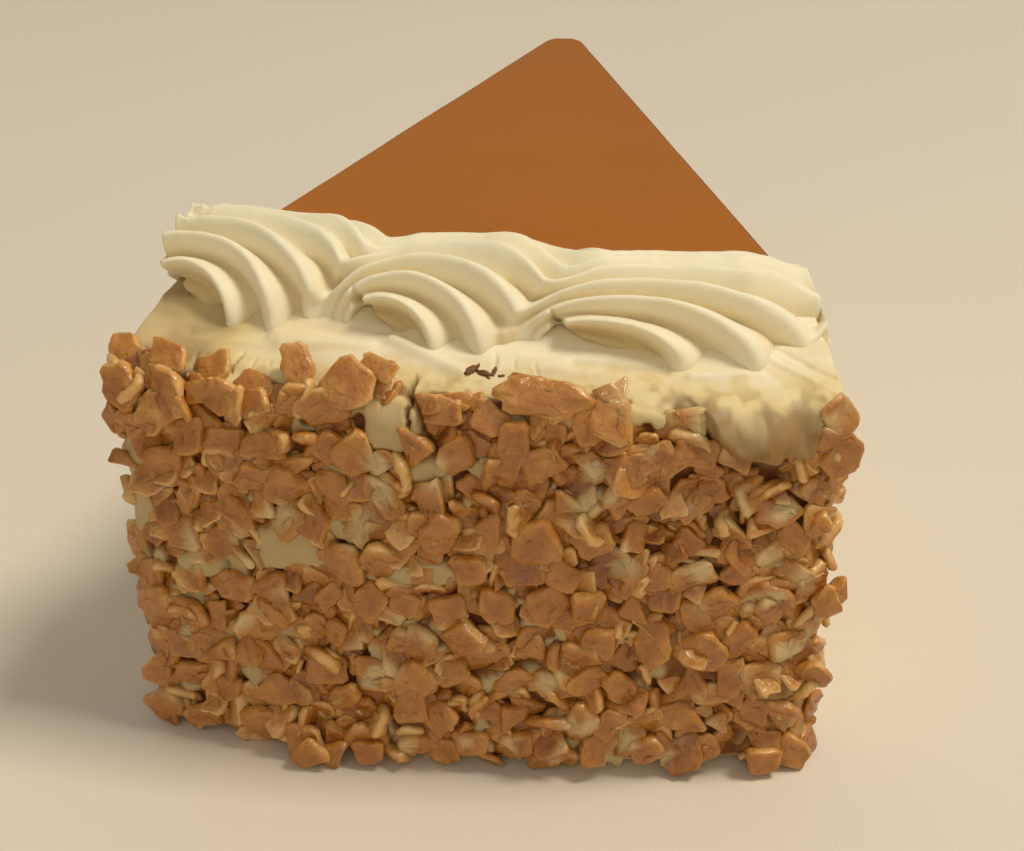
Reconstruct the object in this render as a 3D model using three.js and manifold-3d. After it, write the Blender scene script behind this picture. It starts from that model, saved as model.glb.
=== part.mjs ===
// Toffee cream cake slice: one twelfth of a round cake, cut from it by two straight cuts.
// Millimetres, +Z up. All forms are built about the axis of the whole cake, with the rim
// towards -Y and the tip towards +Y, and the finished slice is moved onto its own origin.

import * as THREE from "three";
import { mergeVertices } from "three/addons/utils/BufferGeometryUtils.js";
import Module from "manifold-3d";

// Driving dimensions, in millimetres and degrees.
const cakeRadius = 130; // cake axis to the outside of the cream coat
const sliceAngle = 30; // between the two cuts
const topHeight = 44.8; // base to the top of the glaze
const tipRadius = 3.2; // rounding of the tip between the cuts
const glazeThickness = 1.6;
const glazeRadius = 115.7; // the glaze ends under the piped border
const coatThickness = 4.6; // cream on the rim wall
const coatFoot = 0.8; // the coat ends just above the base
const gap = 0.3; // between pieces that touch
const wallTop = 36.9; // where the rim wall starts to round over
const edgeRadius = 4.2; // rounding between the wall and the sloping shoulder
const bodyEdgeRadius = 6; // rounding of the body under the shoulder
const arcStep = 1.25; // degrees of rim for one facet

// The sloping shoulder of the coat, from the rounded edge in to the glaze: radius and height.
const shoulder = [
  [120, 43.5],
  [116, 44.6],
];

// The piped border: a ridged strand along the rim, half an ellipse in section.
const border = {
  frontRadius: 124.6, // front foot at mid rim
  frontDrift: 0.15, // the strand wanders outwards, mm for each degree
  frontHeight: 42.2,
  frontFall: 0.05, // and its foot down the shoulder
  width: 14.6,
  backHeight: 45,
  rise: 6.1, // height of the section over its feet
  riseFall: 0.05, // lower towards the last shell, mm for each degree
  tailStart: 11.5, // degrees, where the strand begins to thin out towards its tail
  tailDraw: 6, // how far the front foot draws in there
  tailDrop: 2.2, // and how much the section falls
  midRadius: 117, // arc on which lengths along the rim are measured
  overrun: 1.5, // degrees past each cut before trimming
  foot: 0.3, // radians by which the section passes each foot
  pitch: 2.5, // from ridge to ridge
  ridgeDepth: 1.1,
  crowding: 1.4, // how fast the ridges get shallow where they crowd together
  pocketDepth: 3.4, // hollow inside the innermost ridge
  pocketStart: 2.0,
  pocketEnd: 4.8,
  seamDepth: 1.5, // trough where two shells meet
  seamWidth: 2.2,
  blend: 1.6, // rounding of the ridges as they turn into the next shell
  stepsAlong: 76,
  stepsAcross: 30,
};

// Each wave of the strand is a nest of arcs that starts at one place on the front foot.
// spread and lean set how far the arcs reach to the right, rise how tall they stand.
const shells = [
  { start: -29.2, spread: 1.02, lean: 0.4, rise: 1.01 },
  { start: -10.3, spread: 0.9, lean: 0.54, rise: 0.94 },
  { start: 7.6, spread: 1.32, lean: 0.84, rise: 0.85 },
  { start: 29.6, spread: 0.9, lean: 0.54, rise: 0.9 },
];

// Chopped nuts on the rim wall: rows of chips, thinned where the cream shows.
const chips = {
  seed: 4711,
  rows: 10,
  columns: 16,
  lowest: 2.4,
  rowPitch: 4.0,
  columnPitch: 1.84, // degrees
  wander: 0.36, // share of a pitch
  shortest: 4.2,
  longest: 6.2,
  flatness: 0.3, // thickness as a share of length and width together
  seat: 0.45, // how far the middle of a chip stands proud of the coat
  lean: 0.07, // how much the chips on the rounded edge follow it inwards
  jitter: 0.2, // unevenness of the corners
  tilt: 0.45, // radians
};
const topLine = { height: 41.2, dip: 5.4, dipAngle: 11.2, dipWidth: 3.0 };

// Places where the coat is bare: angle, height, half width in degrees, half height.
const barePatches = [
  [-2.95, 37.4, 1.0, 2.3],
  [-7.3, 24.1, 1.3, 2.6],
  [5.1, 30.6, 0.7, 1.6],
  [2.8, 18.2, 0.8, 1.5],
  [-14.3, 25.0, 0.9, 2.6],
];

// The large chips that lead the eye: angle, height, length, width, distance out, turn.
const leadingChips = [
  [-12.5, 41.6, 4.6, 4.0, 0.1, 0.3],
  [-10.0, 38.7, 4.2, 3.8, 0.2, 1.2],
  [-6.9, 41.9, 4.4, 3.6, -0.4, 0.9],
  [-4.7, 40.9, 5.4, 5.2, 0.3, 0.2],
  [-3.6, 42.0, 4.0, 3.6, -0.2, 2.4],
  [-0.7, 39.6, 5.2, 3.4, 0.1, 0.1],
  [3.0, 40.7, 8.4, 4.0, 0.2, 0.05],
  [5.6, 40.3, 4.4, 3.8, 0.1, 1.0],
  [1.9, 37.1, 4.4, 4.2, 0.3, 0.8],
  [8.9, 38.6, 4.6, 3.4, -0.3, 0.4],
  [14.3, 37.0, 4.2, 4.6, 0.6, 1.3],
  [-7.4, 2.9, 5.2, 4.2, 1.0, 0.4],
  [-6.6, 2.0, 5.0, 3.6, 2.3, 2.9],
  [-4.3, 2.2, 4.6, 3.6, 1.0, 0.2],
  [12.6, 2.2, 5.2, 3.8, 1.0, 0.3],
];

const creamMaterial = { color: 0xf0dfb4, roughness: 0.5, metalness: 0 };
const toffeeMaterial = { color: 0xa9662a, roughness: 0.32, metalness: 0 };
const crumbMaterial = { color: 0xe8d2a2, roughness: 0.75, metalness: 0 };
const nutCoatMaterial = { color: 0xa8763f, roughness: 0.45, metalness: 0 };

const halfAngle = THREE.MathUtils.degToRad(sliceAngle / 2);
const bodyRadius = cakeRadius - coatThickness - gap;
const bodyTop = topHeight - glazeThickness - gap;

const wasm = await Module();
wasm.setup();

// A closed geometry as a solid that can be joined and cut.
function toSolid(geometry) {
  const bare = geometry.clone();
  bare.deleteAttribute("normal");
  bare.deleteAttribute("uv");
  const merged = mergeVertices(bare, 1e-4);
  const vertProperties = new Float32Array(merged.attributes.position.array);
  const triVerts = new Uint32Array(merged.index.array);
  return new wasm.Manifold(new wasm.Mesh({ numProp: 3, vertProperties, triVerts }));
}

function toGeometry(solid) {
  const mesh = solid.getMesh();
  const geometry = new THREE.BufferGeometry();
  geometry.setAttribute("position", new THREE.BufferAttribute(mesh.vertProperties, 3));
  geometry.setIndex(new THREE.BufferAttribute(mesh.triVerts, 1));
  geometry.computeVertexNormals();
  return geometry;
}

// The largest body of a solid, without the slivers that a cut can leave beside it.
function largestBody(solid) {
  const bodies = solid.decompose();
  return bodies.reduce((best, body) => (body.volume() > best.volume() ? body : best));
}

// Plan of the slice out to a radius: the rounded tip, two straight cuts and the rim's arc.
function slicePlan(radius) {
  const tipCentre = -tipRadius / Math.sin(halfAngle);
  const plan = new THREE.Shape();
  plan.absarc(0, tipCentre, tipRadius, halfAngle, Math.PI - halfAngle, false);
  plan.absarc(0, 0, radius, -Math.PI / 2 - halfAngle, -Math.PI / 2 + halfAngle, false);
  plan.closePath();
  return plan;
}

function slicePrism(radius, bottom, top) {
  const curveSegments = sliceAngle / arcStep / 2;
  const settings = { depth: top - bottom, bevelEnabled: false, curveSegments };
  return new THREE.ExtrudeGeometry(slicePlan(radius), settings).translate(0, 0, bottom);
}

// A closed profile of radius and height, turned all round the cake's axis.
function turned(profile) {
  const points = profile.map(([radius, height]) => new THREE.Vector2(radius, height));
  const facets = Math.round(360 / arcStep);
  return toSolid(new THREE.LatheGeometry(points, facets).rotateX(Math.PI / 2));
}

// Points on a rounded corner, from the upright wall up and over to the start of a slope.
function roundedEdge(radius, height, size, steps) {
  const points = [];
  for (let i = 0; i <= steps; i += 1) {
    const turn = (i / steps) * 1.25;
    points.push([radius - size + size * Math.cos(turn), height + size * Math.sin(turn)]);
  }
  return points;
}

const sliceSolid = toSolid(slicePrism(cakeRadius + 20, -5, topHeight + 30));

// The top edge of the body, with its corner rounded off under the shoulder.
function bodyEdge(clearance) {
  const size = bodyEdgeRadius + clearance;
  const corner = roundedEdge(bodyRadius + clearance, wallTop - 2, size, 5);
  return [...corner, [glazeRadius + gap, bodyTop + clearance]];
}

function bodyGeometry() {
  const profile = [[0, 0], [bodyRadius, 0], ...bodyEdge(0), [0, bodyTop]];
  return toGeometry(turned(profile).intersect(sliceSolid));
}

function glazeGeometry() {
  return slicePrism(glazeRadius, topHeight - glazeThickness, topHeight);
}

function coatSolid() {
  const outside = [[cakeRadius, coatFoot], ...roundedEdge(cakeRadius, wallTop, edgeRadius, 5), ...shoulder];
  const inside = bodyEdge(gap).reverse();
  const foot = [bodyRadius + gap, coatFoot];
  return turned([foot, ...outside, ...inside, foot]).intersect(sliceSolid);
}

// Repeatable draws, so that every chip keeps its size and place.
let drawState = chips.seed;
function draw(low, high) {
  drawState = (drawState * 16807) % 2147483647;
  return low + ((high - low) * drawState) / 2147483647;
}

function isBare(angle, height) {
  const fall = (angle - topLine.dipAngle) / topLine.dipWidth;
  const upper = topLine.height - topLine.dip * Math.exp(-fall * fall);
  const inPatch = barePatches.some(
    ([a, h, halfWidth, halfHeight]) => Math.hypot((angle - a) / halfWidth, (height - h) / halfHeight) < 1,
  );
  return inPatch || height > upper;
}

// One angular chip lying against the wall.
function chipSolid({ angle, height, length, width, out, turn, tiltX, tiltZ }) {
  const thickness = (length + width) * chips.flatness;
  const geometry = mergeVertices(bareIcosahedron(), 1e-4);
  const corner = geometry.attributes.position;
  for (let i = 0; i < corner.count; i += 1) {
    const scale = draw(1 - chips.jitter, 1);
    corner.setXYZ(i, corner.getX(i) * scale, corner.getY(i) * scale, corner.getZ(i) * scale);
  }
  geometry.scale(length / 2, thickness / 2, width / 2);
  geometry.rotateY(turn);
  geometry.rotateX(tiltX);
  geometry.rotateZ(tiltZ);
  const overEdge = Math.max(height - wallTop, 0);
  const radius = cakeRadius + chips.seat + out - chips.lean * overEdge * overEdge;
  geometry.translate(0, -radius, height);
  geometry.rotateZ(THREE.MathUtils.degToRad(angle));
  return toSolid(geometry);
}

function bareIcosahedron() {
  const geometry = new THREE.IcosahedronGeometry(1, 0);
  geometry.deleteAttribute("normal");
  geometry.deleteAttribute("uv");
  return geometry;
}

function chipPlaces() {
  const places = leadingChips.map(([angle, height, length, width, out, turn]) => (
    { angle, height, length, width, out, turn, tiltX: 0, tiltZ: 0 }
  ));
  for (let row = 0; row < chips.rows; row += 1) {
    for (let column = 0; column < chips.columns; column += 1) {
      const stagger = row % 2 === 0 ? 0.25 : -0.25;
      const middle = column - (chips.columns - 1) / 2 + stagger;
      const angle = (middle + draw(-chips.wander, chips.wander)) * chips.columnPitch;
      const height = chips.lowest + (row + draw(0, chips.wander)) * chips.rowPitch;
      const length = draw(chips.shortest, chips.longest);
      const width = length * draw(0.65, 0.9);
      const turn = draw(0, Math.PI);
      const tiltX = draw(-chips.tilt, chips.tilt);
      const tiltZ = draw(-chips.tilt, chips.tilt);
      if (!isBare(angle, height)) {
        places.push({ angle, height, length, width, out: 0, turn, tiltX, tiltZ });
      }
    }
  }
  return places;
}

function nutCoatGeometry() {
  const joined = chipPlaces().map(chipSolid).reduce((coat, chip) => coat.add(chip), coatSolid());
  return toGeometry(largestBody(joined));
}

// Size of the arc of one shell's nest that passes through a place on the unrolled strand.
function arcSize(shell, along, up) {
  const x = along - shell.start;
  const y = up / shell.rise;
  const tight = shell.spread ** 2 - shell.lean ** 2;
  return (shell.spread * Math.hypot(x, Math.sqrt(tight) * y) - shell.lean * x) / tight;
}

function smoothMin(a, b, width) {
  const share = Math.max(width - Math.abs(a - b), 0) / width;
  return Math.min(a, b) - (share * share * width) / 4;
}

function nestSize(along, up) {
  return shells.map((shell) => arcSize(shell, along, up)).reduce((a, b) => smoothMin(a, b, border.blend));
}

// How far the piped surface stands off its smooth section: ridges, pockets and seams.
function borderRelief(along, up) {
  const size = nestSize(along, up);
  const step = 0.05;
  const slope = Math.hypot(
    nestSize(along + step, up) - size,
    nestSize(along, up + step) - size,
  ) / step;
  const depth = border.ridgeDepth / Math.max(slope, 1) ** border.crowding;
  const ridge = (Math.cos((2 * Math.PI * size) / border.pitch) - 1) / 2;
  const pocket = THREE.MathUtils.smoothstep(size, border.pocketStart, border.pocketEnd) - 1;
  const [first, second] = shells.map((shell) => arcSize(shell, along, up)).sort((a, b) => a - b);
  const seam = -Math.exp(-(((second - first) / border.seamWidth) ** 2));
  return depth * ridge + border.pocketDepth * pocket + border.seamDepth * seam;
}

// A point of the piped surface, by degrees along the rim and turn across the strand.
function borderPoint(degrees, across) {
  const tail = THREE.MathUtils.smoothstep(degrees, border.tailStart, sliceAngle / 2);
  const drift = border.frontRadius + border.frontDrift * degrees;
  const back = drift - border.width;
  const front = drift - border.tailDraw * tail;
  const frontHeight = border.frontHeight - border.frontFall * degrees;
  const rise = border.rise - border.riseFall * degrees - border.tailDrop * tail;
  const halfWidth = border.width / 2;
  const along = THREE.MathUtils.degToRad(degrees) * border.midRadius;
  const relief = borderRelief(along, (across * (halfWidth + rise)) / 2);
  const share = (1 + Math.cos(across)) / 2;
  const feet = back + (front - back) * share;
  const ground = border.backHeight + (frontHeight - border.backHeight) * share;
  const radius = feet + relief * Math.cos(across);
  const height = ground + (rise + relief) * Math.sin(across);
  const angle = THREE.MathUtils.degToRad(degrees);
  return [radius * Math.sin(angle), -radius * Math.cos(angle), height];
}

// The strand as a closed tube: rings of points across it, closed underneath and at both ends.
function borderTube() {
  const positions = [];
  const indices = [];
  const ringSize = border.stepsAcross + 1;
  const reach = sliceAngle / 2 + border.overrun;
  for (let i = 0; i <= border.stepsAlong; i += 1) {
    const degrees = -reach + (2 * reach * i) / border.stepsAlong;
    for (let j = 0; j < ringSize; j += 1) {
      const across = -border.foot + ((Math.PI + 2 * border.foot) * j) / border.stepsAcross;
      positions.push(...borderPoint(degrees, across));
    }
  }
  for (let i = 0; i < border.stepsAlong; i += 1) {
    for (let j = 0; j < ringSize; j += 1) {
      const next = (j + 1) % ringSize;
      const [a, b] = [i * ringSize + j, i * ringSize + next];
      const [c, d] = [a + ringSize, b + ringSize];
      indices.push(a, c, b, b, c, d);
    }
  }
  const lastRing = border.stepsAlong * ringSize;
  for (let j = 1; j < ringSize - 1; j += 1) {
    indices.push(0, j, j + 1);
    indices.push(lastRing, lastRing + j + 1, lastRing + j);
  }
  const geometry = new THREE.BufferGeometry();
  geometry.setAttribute("position", new THREE.Float32BufferAttribute(positions, 3));
  geometry.setIndex(indices);
  return geometry;
}

// Everything below the top of the coat and the glaze, with the gap that the border keeps.
function borderBed() {
  const edge = roundedEdge(cakeRadius, wallTop, edgeRadius, 5);
  const lid = [...edge, ...shoulder].map(([radius, height]) => [radius, height + gap]);
  return turned([[0, 0], [cakeRadius, 0], ...lid, [glazeRadius, topHeight + gap], [0, topHeight + gap]]);
}

function borderGeometry() {
  const strand = toSolid(borderTube()).subtract(borderBed()).intersect(sliceSolid);
  return toGeometry(largestBody(strand));
}

function piece(name, geometry, look) {
  const mesh = new THREE.Mesh(geometry, new THREE.MeshStandardMaterial(look));
  mesh.name = name;
  return mesh;
}

const slice = new THREE.Group();
slice.add(piece("cake_body", bodyGeometry(), crumbMaterial));
slice.add(piece("nut_cream_coat", nutCoatGeometry(), nutCoatMaterial));
slice.add(piece("toffee_glaze", glazeGeometry(), toffeeMaterial));
slice.add(piece("piped_border", borderGeometry(), creamMaterial));

// The origin is the middle of the slice's base.
const box = new THREE.Box3().setFromObject(slice);
const middle = box.getCenter(new THREE.Vector3());
slice.position.set(-middle.x, -middle.y, 0);

export default slice;
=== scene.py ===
# Toffee cream cake slice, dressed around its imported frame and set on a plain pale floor.
import math
import random

import bmesh
import bpy
import numpy as np
from mathutils import Matrix, Vector, noise
from mathutils.bvhtree import BVHTree


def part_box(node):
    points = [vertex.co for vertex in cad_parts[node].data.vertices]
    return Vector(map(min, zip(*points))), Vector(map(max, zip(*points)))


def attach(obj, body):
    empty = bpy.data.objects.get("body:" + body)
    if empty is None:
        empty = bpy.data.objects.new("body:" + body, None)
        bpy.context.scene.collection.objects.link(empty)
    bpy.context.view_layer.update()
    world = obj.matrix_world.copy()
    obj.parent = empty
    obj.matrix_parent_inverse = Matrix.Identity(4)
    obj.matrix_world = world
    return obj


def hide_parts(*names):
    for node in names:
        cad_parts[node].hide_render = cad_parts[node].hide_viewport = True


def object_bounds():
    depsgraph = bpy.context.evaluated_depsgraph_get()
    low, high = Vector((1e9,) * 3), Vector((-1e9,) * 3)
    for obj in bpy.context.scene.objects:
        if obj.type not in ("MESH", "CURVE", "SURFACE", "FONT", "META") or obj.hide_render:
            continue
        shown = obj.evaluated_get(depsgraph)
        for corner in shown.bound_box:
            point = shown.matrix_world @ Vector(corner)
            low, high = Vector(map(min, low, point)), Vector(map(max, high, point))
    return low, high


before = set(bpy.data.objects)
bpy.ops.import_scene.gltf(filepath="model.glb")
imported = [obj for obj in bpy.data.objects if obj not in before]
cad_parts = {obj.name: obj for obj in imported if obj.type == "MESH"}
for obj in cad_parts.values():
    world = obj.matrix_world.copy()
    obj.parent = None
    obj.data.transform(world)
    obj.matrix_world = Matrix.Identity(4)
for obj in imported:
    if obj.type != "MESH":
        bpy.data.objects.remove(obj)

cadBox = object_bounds()
mm = 0.001

# The slice is a twelfth of a round cake. Forms are worked out about the cake's axis as radius,
# angle from the middle of the rim and height, all in millimetres and degrees.
cake = {
    "radius": 130.0,
    "halfAngle": 15.0,
    "tipRadius": 3.2,
    "glazeRadius": 115.7,
    "glazeThickness": 1.6,
    "bodyRadius": 125.1,
    "wallTop": 36.9,  # the rim wall rounds over above this
    "edgeRadius": 4.2,
    "shoulder": [(120.0, 43.5), (115.7, 44.6)],
}
halfAngle = math.radians(cake["halfAngle"])
glazeLow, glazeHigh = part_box("toffee_glaze")
topHeight = glazeHigh.z / mm
axisX = (glazeLow.x + glazeHigh.x) / 2
axisY = glazeHigh.y + (cake["tipRadius"] / math.sin(halfAngle) - cake["tipRadius"]) * mm


# Values side by side, as the points of an array.
def stack(*parts):
    return np.stack(np.broadcast_arrays(*parts), axis=-1)


# Frame position of points given by radius, angle and height.
def place(radius, degrees, height):
    angle = np.radians(degrees)
    x = axisX + radius * np.sin(angle) * mm
    y = axisY - radius * np.cos(angle) * mm
    return stack(x, y, height * mm)


def smoothStep(value, low, high):
    share = np.clip((value - low) / (high - low), 0, 1)
    return share * share * (3 - 2 * share)


# 1 in the middle, fading out over a width to both sides.
def bell(value, middle, width):
    return np.exp(-(((value - middle) / width) ** 2))


# Smooth noise at points in millimetres, for grains of one size.
def roughness(points, grain, seed=0.0):
    flat = np.asarray(points).reshape(-1, 3) / grain + seed
    values = [noise.noise(Vector(p)) for p in flat]
    return np.array(values).reshape(np.asarray(points).shape[:-1])


# sRGB hex to linear colour.
def colour(hexText):
    channels = [int(hexText[i:i + 2], 16) / 255 for i in (1, 3, 5)]
    return [c / 12.92 if c <= 0.04045 else ((c + 0.055) / 1.055) ** 2.4 for c in channels] + [1]


# Adds a node with its settings and its inputs: each a value, or the socket or node that feeds it.
def addNode(tree, kind, inputs=None, **settings):
    node = tree.nodes.new(kind)
    for name, value in settings.items():
        setattr(node, name, value)
    for name, value in (inputs or {}).items():
        if isinstance(value, bpy.types.Node):
            value = next(socket for socket in value.outputs if socket.enabled)
        if isinstance(value, bpy.types.NodeSocket):
            tree.links.new(value, node.inputs[name])
        else:
            node.inputs[name].default_value = value
    return node


# ---- meshes ----

# Faces between rows of points, each row a closed loop.
def loopFaces(rows, columns):
    index = np.arange(rows * columns).reshape(rows, columns)
    index = np.concatenate([index, index[:, :1]], axis=1)
    corners = index[:-1, :-1], index[:-1, 1:], index[1:, 1:], index[1:, :-1]
    return np.stack([c.ravel() for c in corners], axis=-1).tolist()


# The first and the last row, each closed by one face.
def endFaces(rows, columns):
    return [list(range(columns))[::-1], list(range((rows - 1) * columns, rows * columns))]


def newPiece(name, points, faces, material):
    mesh = bpy.data.meshes.new(name)
    mesh.from_pydata(np.asarray(points).reshape(-1, 3).tolist(), [], faces)
    mesh.update()
    mesh.shade_smooth()
    piece = bpy.data.objects.new(name, mesh)
    bpy.context.scene.collection.objects.link(piece)
    if material:
        mesh.materials.append(material)
    return piece


def pointValue(piece, name, values, kind="FLOAT"):
    attribute = piece.data.attributes.new(name, kind, "POINT")
    field = "value" if kind == "FLOAT" else "vector"
    attribute.data.foreach_set(field, np.asarray(values, dtype=np.float32).ravel())


# Gives the piece a node tree's result as its own plain mesh.
def bakeNodes(piece, tree, sizes):
    modifier = piece.modifiers.new(tree.name, "NODES")
    modifier.node_group = tree
    for item in tree.interface.items_tree:
        if item.item_type == "SOCKET" and item.in_out == "INPUT" and item.name in sizes:
            modifier[item.identifier] = sizes[item.name]
    bpy.context.view_layer.update()
    shaped = piece.evaluated_get(bpy.context.evaluated_depsgraph_get())
    mesh = bpy.data.meshes.new_from_object(shaped)
    piece.modifiers.remove(modifier)
    piece.data = mesh
    return piece


def newTree(name, inputs):
    tree = bpy.data.node_groups.new(name, "GeometryNodeTree")
    for label, kind in {"Geometry": "Geometry", **inputs}.items():
        tree.interface.new_socket(label, in_out="INPUT", socket_type="NodeSocket" + kind)
    tree.interface.new_socket("Geometry", in_out="OUTPUT", socket_type="NodeSocketGeometry")
    return tree, tree.nodes.new("NodeGroupInput").outputs


# Each tree ends in real geometry with its material.
def closeTree(tree, geometry, material):
    real = addNode(tree, "GeometryNodeRealizeInstances", {"Geometry": geometry})
    dressed = addNode(tree, "GeometryNodeSetMaterial", {"Geometry": real, "Material": material})
    addNode(tree, "NodeGroupOutput", {"Geometry": dressed})


def storedValue(tree, name, kind="FLOAT"):
    return addNode(tree, "GeometryNodeInputNamedAttribute", {"Name": name}, data_type=kind)


# ---- materials ----

def newMaterial(name):
    material = bpy.data.materials.new(name)
    material.use_nodes = True
    tree = material.node_tree
    tree.nodes.clear()
    return material, tree, addNode(tree, "ShaderNodeTexCoord").outputs["Object"]


def closeMaterial(tree, shader):
    surface = addNode(tree, "ShaderNodeBsdfPrincipled", shader)
    addNode(tree, "ShaderNodeOutputMaterial", {"Surface": surface})


# Two shades in soft patches of a size in millimetres.
def patchy(tree, spots, size, detail, first, second):
    scale = 1 / (size * mm)
    clouds = addNode(tree, "ShaderNodeTexNoise", {"Vector": spots, "Scale": scale, "Detail": detail})
    return addNode(tree, "ShaderNodeMix", {"Factor": clouds, "A": first, "B": second}, data_type="RGBA")


# Fine relief with grains of a size and a depth in millimetres, on coarser relief if there is any.
def grained(tree, spots, size, detail, strength, depth, coarser=None):
    scale = 1 / (size * mm)
    grain = addNode(tree, "ShaderNodeTexNoise", {"Vector": spots, "Scale": scale, "Detail": detail})
    under = {"Normal": coarser} if coarser else {}
    return addNode(tree, "ShaderNodeBump", {
        "Height": grain, "Strength": strength, "Distance": depth * mm, **under,
    })


# Value that a piece stores at its points.
def painted(tree, name):
    return addNode(tree, "ShaderNodeAttribute", attribute_name=name).outputs["Fac"]


# Colours of a ramp by place along it, its two ends first.
def setRamp(ramp, shades):
    stops = ramp.color_ramp.elements
    for at, shade in shades.items():
        stop = stops[at] if at in (0, 1) else stops.new(at)
        stop.color = colour(shade)


# Whipped cream, piped or spread: dense and matt, lit from inside, with fine air bubbles.
def whippedCream():
    material, tree, spots = newMaterial("whipped cream")
    tint = patchy(tree, spots, 8.33, 2, colour("#f5efd5"), colour("#efe5c0"))
    # nut oil stains it from pale straw to brown, and painted shade darkens it the same way in pockets,
    # grooves, cracks and on the wall
    stain = painted(tree, "stain")
    stainAndShadeColour = addNode(tree, "ShaderNodeValToRGB", {"Fac": stain})
    setRamp(stainAndShadeColour, {0: "#f2e9ca", 1: "#7a481c", 0.3: "#e2cd94", 0.5: "#ab9268", 0.7: "#98703e"})
    some = addNode(tree, "ShaderNodeMath", {0: stain, 1: 8.0}, operation="MULTIPLY", use_clamp=True)
    stainedAndShaded = addNode(tree, "ShaderNodeMix", {"Factor": some, "A": tint, "B": stainAndShadeColour}, data_type="RGBA")
    closeMaterial(tree, {
        "Base Color": stainedAndShaded,
        "Normal": grained(tree, spots, 0.385, 3, 0.12, 0.2),
        "Roughness": 0.5, "IOR": 1.4, "Specular IOR Level": 0.35,
        "Subsurface Weight": 0.22, "Subsurface Scale": 1 * mm, "Subsurface Radius": (1.0, 0.8, 0.5),
    })
    return material


# Set toffee glaze: a smooth satin skin, a little uneven in its brown.
def toffeeGlaze():
    material, tree, spots = newMaterial("toffee glaze")
    # painted light: the glaze is painted lighter towards the rim, where the light falls brighter on it
    along = addNode(tree, "ShaderNodeSeparateXYZ", {"Vector": spots}).outputs["Y"]
    tintWeight = addNode(tree, "ShaderNodeMapRange", {"Value": along, "From Min": 60 * mm, "From Max": -45 * mm})
    paintedRimLight = addNode(tree, "ShaderNodeMix", {
        "Factor": tintWeight, "A": colour("#a26117"), "B": colour("#b56d1a"),
    }, data_type="RGBA")
    tint = patchy(tree, spots, 22.2, 4, paintedRimLight, colour("#a26116"))
    # painted shade: darker along the edge and on the sides
    darker = addNode(tree, "ShaderNodeMix", {
        "Factor": painted(tree, "setEdge"), "A": tint, "B": colour("#5e3210"),
    }, data_type="RGBA")
    closeMaterial(tree, {
        "Base Color": darker, "Normal": grained(tree, spots, 1.11, 4, 0.05, 0.2),
        "Roughness": 0.42, "IOR": 1.45, "Specular IOR Level": 0.14,
        "Subsurface Weight": 0.1, "Subsurface Scale": 1 * mm, "Subsurface Radius": (1.0, 0.4, 0.1),
    })
    return material


# Cut cream cake: matt and open-grained, with pale crumb and small darker pores.
def cutCake():
    material, tree, spots = newMaterial("cut cream cake")
    pores = addNode(tree, "ShaderNodeTexVoronoi", {"Vector": spots, "Scale": 1 / (1.11 * mm)})
    closeMaterial(tree, {
        "Base Color": patchy(tree, spots, 3.85, 5, colour("#f0deb0"), colour("#e2c890")),
        "Normal": addNode(tree, "ShaderNodeBump", {"Height": pores, "Strength": 0.3, "Distance": 0.4 * mm}),
        "Roughness": 0.72, "IOR": 1.4, "Specular IOR Level": 0.3,
        "Subsurface Weight": 0.2, "Subsurface Scale": 1.5 * mm, "Subsurface Radius": (1.0, 0.7, 0.4),
    })
    return material


# Roasted chopped nuts, damp from the cream: amber, slightly see-through, with wet glints.
def roastedNut():
    material, tree, spots = newMaterial("roasted chopped nut")
    clouds = addNode(tree, "ShaderNodeTexNoise", {"Vector": spots, "Scale": 1 / (1.92 * mm), "Detail": 5})
    mixed = addNode(tree, "ShaderNodeMath", {
        0: clouds, 1: 1.6, 2: painted(tree, "tone"),
    }, operation="MULTIPLY_ADD")
    # painted light: thin edges are painted lighter, as if light shone through them
    lighter = addNode(tree, "ShaderNodeMath", {
        0: painted(tree, "thinEdge"), 1: 0.55, 2: mixed,
    }, operation="MULTIPLY_ADD")
    share = addNode(tree, "ShaderNodeMapRange", {"Value": lighter, "From Min": 0.6, "From Max": 2.0})
    roast = addNode(tree, "ShaderNodeValToRGB", {"Fac": share})
    setRamp(roast, {0: "#874c16", 1: "#dcae66", 0.45: "#ae6f24", 0.8: "#c48737"})
    # the cream film is painted a darker tan than the cream: thin cream over the nut, and painted shade as
    # on the wall
    smeared = addNode(tree, "ShaderNodeMix", {
        "Factor": painted(tree, "creamFilm"), "A": roast, "B": colour("#d8bd84"),
    }, data_type="RGBA")
    facets = grained(tree, spots, 2.0, 2, 0.35, 1.0)
    bump = grained(tree, spots, 0.77, 4, 0.6, 0.4, facets)
    # the damp film lies in the same grain, which breaks its glints up
    closeMaterial(tree, {
        "Base Color": smeared, "Normal": bump, "Coat Normal": bump, "Roughness": 0.42, "IOR": 1.47,
        "Subsurface Weight": 0.35, "Subsurface Scale": 0.6 * mm, "Subsurface Radius": (1.0, 0.75, 0.5),
        "Coat Weight": 0.6, "Coat Roughness": 0.12,
    })
    return material


creamMaterial = whippedCream()
glazeMaterial = toffeeGlaze()
cakeMaterial = cutCake()
nutMaterial = roastedNut()
print("materials made")


# ---- body of the slice ----

bodyShape = {
    "sideSteps": 230,
    "rimSteps": 24,
    "tipSteps": 16,
    "heightSteps": 96,
    "edgeStart": 116,  # radius where the top begins to fall
    "edgeDrop": 7,
    "drag": 0.22,  # depth of the marks that the knife dragged along the cut
    "dragStretch": [0.25, 0.12, 1.0],
    "pores": 0.28,
}


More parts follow.
